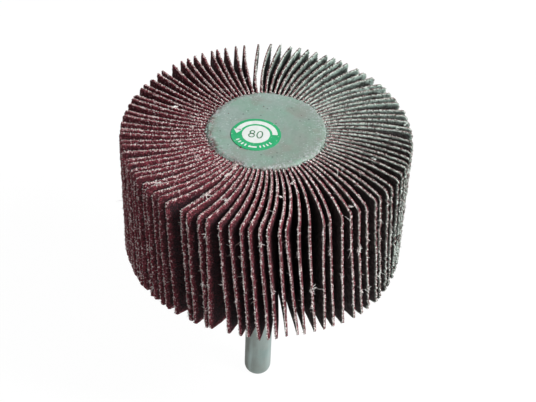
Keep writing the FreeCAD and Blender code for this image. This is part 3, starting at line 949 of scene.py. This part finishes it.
def resin_finish():
    """Cloudy grey-green with greener and duskier patches, a rosy rim, frost, flecks and pits."""
    finish, tree, shader = new_finish("cast_resin")
    at = add(tree, "ShaderNodeSeparateXYZ", in_Vector=object_place(tree)).outputs
    squares = [maths(tree, "POWER", at[axis], 2.0) for axis in "XY"]
    across = maths(tree, "SQRT", maths(tree, "ADD", *squares))
    cloud = mottle(tree, 5.0, 2.2)
    small = mottle(tree, 0.8, 2.4)
    colour = mix(tree, cloud, *RESIN_BASE)
    colour = tint(tree, colour, RESIN_CLOUD, small, 0.35)
    # the disc is darker towards the right front
    front_right = side(tree, (0.9, -0.45), 0.05, 0.45, scaled(tree, cloud, 0.3))
    colour = mix(tree, 0.45, colour, mix(tree, front_right, RESIN_BACK_LEFT, RESIN_FRONT_RIGHT))
    colour = tint(tree, colour, RESIN_GREEN, climb(tree, mottle(tree, 8.0, 3.0), 0.35, 0.8), 0.55)
    colour = tint(tree, colour, RESIN_DUSKY, climb(tree, mottle(tree, 4.3, 3.2), 0.55, 0.95), 0.45)
    leftward = maths(tree, "SUBTRACT", across, scaled(tree, at["X"], 0.10))
    rim = climb(tree, scaled(tree, leftward, 1 / RIM_REACH), 0.83, 0.91)
    patchy = climb(tree, mottle(tree, 1.1, 3.5), 0.25, 0.8)
    rosy = mix(tree, speckle(tree, 0.4, 0.4)["Mask"], *RIM_ROSY)
    colour = tint(tree, colour, rosy, maths(tree, "MULTIPLY", rim, patchy), 0.9)
    flecks = climb(tree, mottle(tree, 0.45, 3.0), 0.80, 0.97)
    where = climb(tree, mottle(tree, 3.5, 2.5), 0.45, 0.75, 0.1)
    colour = tint(tree, colour, FLECK, maths(tree, "MULTIPLY", flecks, where), 0.45)
    outer = climb(tree, scaled(tree, across, 1 / RIM_REACH), 0.66, 0.86)
    frost = mix(tree, speckle(tree, 0.5, 0.5)["Tone"], *FROST)
    frosted = maths(tree, "MULTIPLY", outer, speckle(tree, 0.42, 0.45)["Mask"])
    colour = tint(tree, colour, frost, frosted, 0.4)
    pits = speckle(tree, 0.45, 0.012)["Mask"]
    colour = tint(tree, colour, PIT, pits, 0.7)
    surface(tree, shader, colour, maths(tree, "SUBTRACT", scaled(tree, small, 0.5), pits), 0.12, 0.5)
    feed(tree, shader.inputs["Roughness"], maths(tree, "ADD", scaled(tree, cloud, 0.2), 0.5))
    return finish


RESIN = resin_finish()
core = frame["nodes"]["resin_core"]
core.data.materials.clear()
core.data.materials.append(RESIN)
print("finish", RESIN.name, "on", core.name)

# %% [markdown]
# Resin shrinks and creeps as it sets, so a cast face is never a flat turned disc. A thin skin over
# each end of the core brings the slight dish and the wandering rim. It is a lens on a polar grid:
# slow waves round the axis lift its height, and slow and fine ones push its rim in and out.

# %% The skin over each end of the core
CROWN_TOP = 30.5
FULL_TURN = 6.28
SKIN_STEPS = np.concatenate([np.linspace(0, 0.9, 30), [0.93, 0.955, 0.975, 0.99, 1.0, 0.985, 0.9, 0.5, 0.0]])
SKIN_DROP = np.concatenate([np.zeros(30), [0.02, 0.07, 0.16, 0.30, 0.52, 0.66, 0.62, 0.6, 0.6]])
RIM_WAVES = (2, 3, 5, 9, 14, 23, 37, 61, 83, 101)


def skin(name, level, way, hole, seed):
    """A thin lens round the axis: radius on one parameter, angle on the other.

    From the middle out, the height is level, plus slow waves; at the rim it rounds down to the
    flaps' edges, and the underside returns below the surface. way is 1 for up and -1 for down. A
    skin with a hole closes on itself, and one without ends in two poles."""
    local = np.random.default_rng(seed)
    angle = np.linspace(0, 2 * np.pi, 257)[:-1]
    rim = np.full_like(angle, CORE + 0.12)
    for k in RIM_WAVES:
        rim = rim + 0.15 / k ** 0.35 * np.sin(k * angle + local.uniform(0, FULL_TURN))
    radius = hole + (rim - hole) * SKIN_STEPS[:, None]
    height = np.zeros_like(radius)
    for k, size in ((1, 0.05), (2, 0.05), (4, 0.03), (7, 0.02)):
        height += size * np.sin(k * angle + local.uniform(0, FULL_TURN)) * (radius / CORE) ** 2
    height += 0.02 * np.sin(radius * 2.3 + local.uniform(0, FULL_TURN))
    grid = polar(radius, angle, level + way * (0.10 + height - SKIN_DROP[:, None]))
    rows, columns = radius.shape
    if hole:
        points, faces = grid.reshape(-1, 3), [grid_faces(rows, columns, True, True)]
    else:
        points = np.vstack([grid[1:-1].reshape(-1, 3), grid[0, :1], grid[-1, :1]])
        faces = capped_faces(rows - 2, columns)
    return make_piece(name, points, flipped(faces) if way < 0 else faces, RESIN, smooth_angle=60)


top_skin = skin("resin_top_skin", CROWN_TOP, 1, 0, 21)
low_skin = skin("resin_lower_skin", 0.0, -1, 3.02, 22)
print("skins", [len(p.data.polygons) for p in (top_skin, low_skin)])

# %% [markdown]
# Where the resin crept over the flaps it set in small lumps, and a splash of it, pink with dust,
# lies on the flaps at the front. A lump is a sphere on a grid whose radius is pushed in and out by
# a few sines; it is flattened onto what it sits on.

# %% A helper for lumps


def lumps(name, centres, sizes, flatten, material, seed, tones=(0.3, 1)):
    """Small closed blobs: radius = size * (1 + sines of both angles), height scaled by flatten."""
    local = np.random.default_rng(seed)
    count, rows, cols = len(centres), 5, 10
    up_angle = np.linspace(-np.pi / 2, np.pi / 2, rows + 2)[None, 1:-1, None]
    round_angle = (2 * np.pi * np.arange(cols) / cols)[None, None, :]
    start = local.uniform(0, FULL_TURN, (count, 1, 1))
    radius = 1 + 0.22 * np.sin(2 * round_angle + start) * np.cos(up_angle)
    size = sizes[:, None, None] * (radius + 0.15 * np.sin(3 * round_angle + 2 * start))
    body = polar(size * np.cos(up_angle), round_angle, size * np.sin(up_angle) * flatten)
    poles = sizes[:, None, None] * flatten * np.array([[0, 0, -1.0], [0, 0, 1.0]])
    points = np.concatenate([body.reshape(count, -1, 3), poles], 1) + centres[:, None]
    per = rows * cols + 2
    faces = copies(flipped(capped_faces(rows, cols)), count, per)
    stored = {"tone": np.repeat(local.uniform(*tones, count), per)}
    return make_piece(name, points.reshape(-1, 3), faces, material, stored, smooth_angle=80)


# %% Lumps at the core's rim
local = np.random.default_rng(61)
spots = 110
angle = local.uniform(0, 2 * np.pi, spots)
away = CORE + local.normal(0.1, 0.22, spots)
centres = polar(away, angle, local.uniform(30.0, 30.35, spots))
rim_lumps = lumps("resin_lumps", centres, local.uniform(0.12, 0.32, spots), 0.6, RESIN, 62)
print("lumps", spots, "faces", len(rim_lumps.data.polygons))

# %% The splash and the dark specks
spots = 24
away = np.where(np.arange(spots) % 2 > 0, 13.2, 16.1) + local.normal(0, 0.3, spots)
angle = np.radians(243.4 + local.normal(0, 1.1, spots) * 14 / away)
centres = polar(away, angle, local.uniform(29.9, 30.2, spots))
splash = lumps("dusty_splash", centres, local.uniform(0.10, 0.26, spots), 0.7, FIBRES, 63, (0.28, 0.5))

# azimuth in degrees, distance from the axis and size in mm
specks = np.array([(231.2, 7.94, 0.24), (150, 9.2, 0.10), (96, 7.4, 0.11), (35, 8.6, 0.08)])
centres = polar(specks[:, 1], np.radians(specks[:, 0]), CROWN_TOP + 0.12)
dirt = lumps("dark_grains_on_resin", centres, specks[:, 2], 0.6, GRAINS, 64, (0, 0.01))
print("splash", spots, "lumps, dark specks", len(specks))

# %% [markdown]
# ## The shank
# The shank is ground steel with a satin surface and a rounded tip. Grinding leaves rings round it
# and handling leaves streaks along it: both are Noise, squeezed along the rod for the rings and
# across it for the streaks. The rod's left side is painted darker, as shade away from the key lamp
# with a darker stain, and a thin bluish film lies on parts.

# %% The steel finish
STEEL_BASE = (0.35, 0.44, 0.42), (0.48, 0.56, 0.53)
STEEL_RING, STEEL_SHADE, STEEL_FILM = (0.33, 0.38, 0.37), (0.165, 0.17, 0.15), (0.33, 0.48, 0.46)
STREAK_DULL, STREAK_BRIGHT = (0.17, 0.19, 0.165), (0.50, 0.64, 0.61)


def drawn_noise(tree, place, squeeze):
    """Noise on coordinates squeezed by a factor in x, y and z, so that its spots become lines."""
    drawn = add(tree, "ShaderNodeMapping", in_Vector=place, in_Scale=squeeze).outputs["Vector"]
    return add(tree, "ShaderNodeTexNoise", in_Vector=drawn, in_Scale=1.0, in_Detail=3.0).outputs["Fac"]


def steel_finish():
    """Satin steel: clouded, with grinding rings, painted shade and a stain on the left side, a film and
    lengthwise streaks.
    """
    finish, tree, shader = new_finish("shank_steel", Metallic=0.6)
    place = object_place(tree)
    rings = drawn_noise(tree, place, (60, 60, 5200))
    streaks = drawn_noise(tree, place, (520, 520, 60))
    cloud = mottle(tree, 3.5)
    colour = mix(tree, cloud, *STEEL_BASE)
    colour = tint(tree, colour, STEEL_RING, rings, 0.25)
    at_x = add(tree, "ShaderNodeSeparateXYZ", in_Vector=place).outputs["X"]
    # painted shade: the rod darker on its left, away from the key lamp, with a darker stain
    left_shade = maths(tree, "ADD", scaled(tree, at_x, -1 / (6 * MM)), scaled(tree, cloud, 0.5))
    colour = tint(tree, colour, STEEL_SHADE, climb(tree, left_shade, 0.05, 0.75), 0.75)
    colour = tint(tree, colour, STEEL_FILM, climb(tree, mottle(tree, 6.0, 3.0), 0.55, 0.9), 0.5)
    colour = tint(tree, colour, STREAK_DULL, climb(tree, streaks, 0.35, 0.55, 1.0, 0.0), 0.35)
    colour = tint(tree, colour, STREAK_BRIGHT, climb(tree, streaks, 0.52, 0.72), 0.45)
    surface(tree, shader, colour, rings, 0.012, 0.6)
    feed(tree, shader.inputs["Roughness"], maths(tree, "ADD", scaled(tree, cloud, 0.2), 0.34))
    return finish


STEEL = steel_finish()
print("finish", STEEL.name)

# %% [markdown]
# The rod itself is turned: a profile of radii over the height, carried round the axis and closed by
# a fan at each end. Rings a little above and below an edge keep that edge crisp. The neck inside the
# head is a smaller radius, and the two flats that lock the rod in the resin are pressed into it.

# %% The shank
SHANK, REACH, SHANK_END = 3.0, 40.0, 26.0
TIP_WIDE, TIP_LONG = 1.1, 1.8
NECK, NECK_TOP = 2.5, 2.4
FLAT, FLAT_LOW, FLAT_HIGH = 2.3, 5.0, 21.0
CRISP = 0.02


def shank():
    """Radius over height, closed at both ends; on a flat the radius is at most flat / |cos(angle)|."""
    bend = np.linspace(0, np.pi / 2, 9)
    plain = np.linspace(-37, -1, 19)
    edges = [0, NECK_TOP, FLAT_LOW, FLAT_HIGH]
    near = [edge + step for edge in edges[1:] for step in (-CRISP, 0, CRISP)]
    inside = [-0.1, 0, CRISP, *near[:6], (FLAT_LOW + FLAT_HIGH) / 2, *near[6:], SHANK_END - 0.1, SHANK_END]
    tip_z = -REACH + TIP_LONG * (1 - np.cos(bend))
    z = np.concatenate([[-REACH, -REACH], tip_z, plain, inside])
    tip_r = SHANK - TIP_WIDE * (1 - np.sin(bend))
    radius = np.concatenate([[0.9, 1.5], tip_r, np.full(len(plain) + len(inside), SHANK)])
    radius[(z > 0.01) & (z < NECK_TOP + 0.01)] = NECK
    radius[-1] = SHANK - 0.1
    angle = np.linspace(0, 2 * np.pi, 97)[:-1]
    z, a = np.meshgrid(z, angle, indexing="ij")
    across = FLAT / np.maximum(np.abs(np.cos(a)), 1e-6)
    on_flat = (z > FLAT_LOW) & (z < FLAT_HIGH)
    r = np.where(on_flat, np.minimum(radius[:, None], across), radius[:, None])
    points = np.vstack([polar(r, a, z).reshape(-1, 3), [[0, 0, -REACH], [0, 0, SHANK_END]]])
    return points, flipped(capped_faces(*z.shape))


rod = make_piece("shank_rod", *shank(), STEEL, smooth_angle=35)
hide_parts("shank")
print("shank", len(rod.data.polygons))

# %% [markdown]
# ## The label
# A round paper sticker gives the grit number. Its print is generic: a green ground, a white disc
# with the number, a white band with an arrowhead for the direction of rotation, and plain ticks.
# Each printed shape is a thin layer of ink with its own outline, so its edges stay crisp.

# %% Label finishes


def print_finish(name, low, high, roughness):
    """Printed paper: nearly even, with a faint cloud, a few scuffs and a fibre grain."""
    finish, tree, shader = new_finish(name, Roughness=roughness)
    colour = mix(tree, mottle(tree, 1.2), low, high)
    colour = tint(tree, colour, (0.55, 0.62, 0.56), speckle(tree, 0.35, 0.04)["Mask"], 0.35)
    surface(tree, shader, colour, mottle(tree, 0.3), 0.02, 0.4)
    return finish


GREEN = print_finish("label_green_ink", (0.014, 0.31, 0.118), (0.028, 0.40, 0.165), 0.5)
WHITE = print_finish("label_white_ink", (0.60, 0.64, 0.61), (0.72, 0.75, 0.73), 0.55)
DARK = print_finish("label_number_ink", (0.03, 0.13, 0.06), (0.06, 0.20, 0.10), 0.5)
print("finishes", GREEN.name, WHITE.name, DARK.name)

# %% [markdown]
# The label is drawn flat round its own middle, in millimetres, and then moved to its place on the
# disc and turned a little. The sticker and the white disc are round layers. Everything else is a
# band: pairs of inner and outer points along a line, with a flat section carried along it.

# %% The sticker and its white disc
LABEL_MID = np.array([-2.1, -2.05])
LABEL_R, DISC_R, PAPER = 5.1, 2.85, 0.25
LABEL_TOP = CROWN_TOP + 0.22
INK = 0.02
TILT = math.radians(-8)


def on_label(points):
    """Moves label points (x right, y up, in millimetres) to the label's middle, turned by its tilt."""
    c, s = math.cos(TILT), math.sin(TILT)
    moved = points.copy()
    moved[..., 0] = points[..., 0] * c - points[..., 1] * s + LABEL_MID[0]
    moved[..., 1] = points[..., 0] * s + points[..., 1] * c + LABEL_MID[1]
    return moved


def round_layer(name, radius, low, high, material, steps=96):
    """A flat round layer: a rim carried round the label's middle, closed by two fans of triangles."""
    a = 2 * np.pi * np.arange(steps) / steps
    points = np.vstack([polar(radius, a, high), polar(radius, a, low), [[0, 0, high], [0, 0, low]]])
    return make_piece(name, on_label(points), capped_faces(2, steps), material, smooth_angle=30)


green = round_layer("label_paper", LABEL_R, LABEL_TOP - PAPER, LABEL_TOP, GREEN)
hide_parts("label")
disc = round_layer("label_white_disc", DISC_R, LABEL_TOP - INK, LABEL_TOP + INK, WHITE)
print("label radius", LABEL_R, "top", LABEL_TOP)

# %% Helpers for printed bands
PEN = 0.24


def band_section(outline, low, high):
    """Four corners at each step of an (n, 2, 2) outline of inner and outer points, top ones first."""
    inner, outer = outline[:, 0], outline[:, 1]
    corners = ((inner, high), (outer, high), (outer, low), (inner, low))
    return np.stack([np.column_stack([p, np.full(len(p), z)]) for p, z in corners], 1)


def ribbon_piece(name, outlines, low, high, material, closed):
    """One piece from several bands, each closed on itself or capped at its ends."""
    points, quads, first = [], [], 0
    for outline in outlines:
        n = len(outline)
        points.append(on_label(band_section(outline, low, high)).reshape(-1, 3))
        quads.append(grid_faces(n, 4, closed, True)[:, ::-1] + first)
        if not closed:
            quads.append(np.array([[3, 2, 1, 0]]) + first)
            quads.append(np.array([[0, 1, 2, 3]]) + first + (n - 1) * 4)
        first += n * 4
    return make_piece(name, np.vstack(points), [np.vstack(quads)], material, smooth_angle=30)


def arc_band(r_in, r_out, start, end, steps):
    """Inner and outer points of an arc band, angles in degrees counter-clockwise."""
    a = np.radians(np.linspace(start, end, steps))
    way = np.stack([np.cos(a), np.sin(a)], -1)
    return np.stack([way * r_in, way * r_out], 1)


def oval(centre, radii, steps=40):
    """An elliptical pen stroke as inner and outer points."""
    a = np.linspace(0, 2 * np.pi, steps + 1)[:-1]
    way = np.stack([np.cos(a), np.sin(a)], -1)
    return np.stack([centre + way * (np.array(radii) + half) for half in (-PEN / 2, PEN / 2)], 1)


# %% The direction band with its arrowhead, the ticks and the number
band = arc_band(3.35, 4.4, 8, 168, 60)
head = np.array([[[-3.95, -0.35], [-3.9, -0.35]], [[-4.75, 0.95], [-3.0, 0.95]]])
ticks = [arc_band(3.7, 4.4, a - 2.2, a + 2.2, 6) for a in (215, 226, 237, 248, 292, 303, 314, 325)]
bar = arc_band(3.9, 4.35, 258, 282, 14)
marks = [band, head, *ticks, bar]
white = ribbon_piece("label_white_marks", marks, LABEL_TOP - INK, LABEL_TOP + INK, WHITE, False)
eight = [oval((-0.82, 0.54), (0.45, 0.47)), oval((-0.82, -0.52), (0.56, 0.57))]
zero = oval((0.80, -0.03), (0.54, 1.08))
digits = ribbon_piece("label_number", [*eight, zero], LABEL_TOP + INK / 2, LABEL_TOP + 0.05, DARK, True)
print("label pieces", [p.name for p in (green, disc, white, digits)])

# %% [markdown]
# ## Floor, lamps and camera
# The wheel stands on its shank on a plain pale floor, as in a light tent. The floor looks white to
# the camera and keeps a soft shadow: it glows for the camera and, at half strength, in reflections.
# To all other rays it is only a grey floor, so it throws little light back on the wheel.

# %% The floor
FLOOR_REACH, FLOOR_GAP = 800.0, 0.02


def mix_shaders(tree, share, low, high, out):
    """Two shaders mixed by a share, into the surface of an output node."""
    blend = tree.nodes.new("ShaderNodeMixShader")
    for socket, value in zip(blend.inputs, (share, low.outputs[0], high.outputs[0])):
        feed(tree, socket, value)
    feed(tree, out.inputs["Surface"], blend.outputs[0])


def floor():
    """A wide square at the shank's tip, part lit and part self-lit for what the camera sees."""
    corners = FLOOR_REACH * np.array([[-1, -1], [1, -1], [1, 1], [-1, 1]])
    points = np.column_stack([corners, np.full(4, -REACH - FLOOR_GAP)])
    mesh = bpy.data.meshes.new("floor")
    mesh.from_pydata((points * MM).tolist(), [], [(0, 1, 2, 3)])
    finish, tree, shader = new_finish("floor_white", Roughness=0.9, Base_Color=(0.6, 0.6, 0.6, 1))
    glow = add(tree, "ShaderNodeEmission", in_Strength=1.05)
    ray = tree.nodes.new("ShaderNodeLightPath").outputs
    seen = maths(tree, "MAXIMUM", ray["Is Camera Ray"], scaled(tree, ray["Is Glossy Ray"], 0.45))
    mix_shaders(tree, scaled(tree, seen, 0.93), shader, glow, tree.nodes["Material Output"])
    mesh.materials.append(finish)
    ground = show("floor", mesh)


floor()
print("floor", FLOOR_REACH * 2, "mm wide at", -REACH - FLOOR_GAP)

# %% [markdown]
# The world is the tent round the wheel: white where the camera looks at it, and a weak even light
# for everything else, which softens the shadows between the flaps.

# %% The world


def world():
    """White to the camera; a plain grey light to everything else."""
    sky = bpy.data.worlds.new("tent")
    bpy.context.scene.world = sky
    sky.use_nodes = True
    tree = sky.node_tree
    tree.nodes.clear()
    ray = tree.nodes.new("ShaderNodeLightPath").outputs
    soft = add(tree, "ShaderNodeBackground", in_Color=(0.98, 0.99, 1.0, 1), in_Strength=0.22)
    white = add(tree, "ShaderNodeBackground", in_Color=(1, 1, 1, 1), in_Strength=1.0)
    seen = maths(tree, "MAXIMUM", ray["Is Camera Ray"], ray["Is Transmission Ray"])
    mix_shaders(tree, seen, soft, white, tree.nodes.new("ShaderNodeOutputWorld"))
    return sky


print("world", world().name)

# %% [markdown]
# The photograph is lit from above and from the right, and the left side is darker. One lamp high on
# the right is the key, a wide and weak one in front opens the shadows, and one behind lifts the rim.

# %% The lamps
TARGET = Vector((0.89, 0.0, 11.19)) * MM


def lamp(name, place, size, watts):
    """A round area lamp at place (millimetres), turned to the wheel."""
    data = bpy.data.lights.new(name, "AREA")
    data.shape = "DISK"
    data.size = size * MM
    data.energy = watts
    light = show(name, data)
    light.location = Vector(place) * MM
    light.rotation_euler = (TARGET - light.location).to_track_quat("-Z", "Y").to_euler()


lamp("key", (235, -110, 290), 140, 1.85)
lamp("front_fill", (-120, -360, 160), 260, 0.225)
lamp("back_rim", (200, 260, 160), 200, 0.25)
print("lamps", [light.name for light in bpy.data.lights])

# %% [markdown]
# The camera repeats the photograph's viewpoint, found by fitting the wheel's two rims and its
# shank: 41 degrees above the horizon, a long lens, and a slight roll.

# %% The camera
RISE, ROLL, AWAY = math.radians(40.94), math.radians(2.36), 334.3 * MM
backward = Vector((0, -math.cos(RISE), math.sin(RISE)))
level, steep = Vector((1, 0, 0)), Vector((0, math.sin(RISE), math.cos(RISE)))
right = level * math.cos(ROLL) + steep * math.sin(ROLL)
up = steep * math.cos(ROLL) - level * math.sin(ROLL)
lens = bpy.data.cameras.new("camera")
lens.lens, lens.sensor_width, lens.clip_start = 106.05, 36.0, 0.01
camera = show("camera", lens)
facing = Matrix((right, up, backward)).transposed().to_4x4()
camera.matrix_world = Matrix.Translation(TARGET + backward * AWAY) @ facing
bpy.context.scene.camera = camera
bpy.context.scene.view_settings.view_transform = "Standard"
print("camera", [round(v, 4) for v in camera.location])
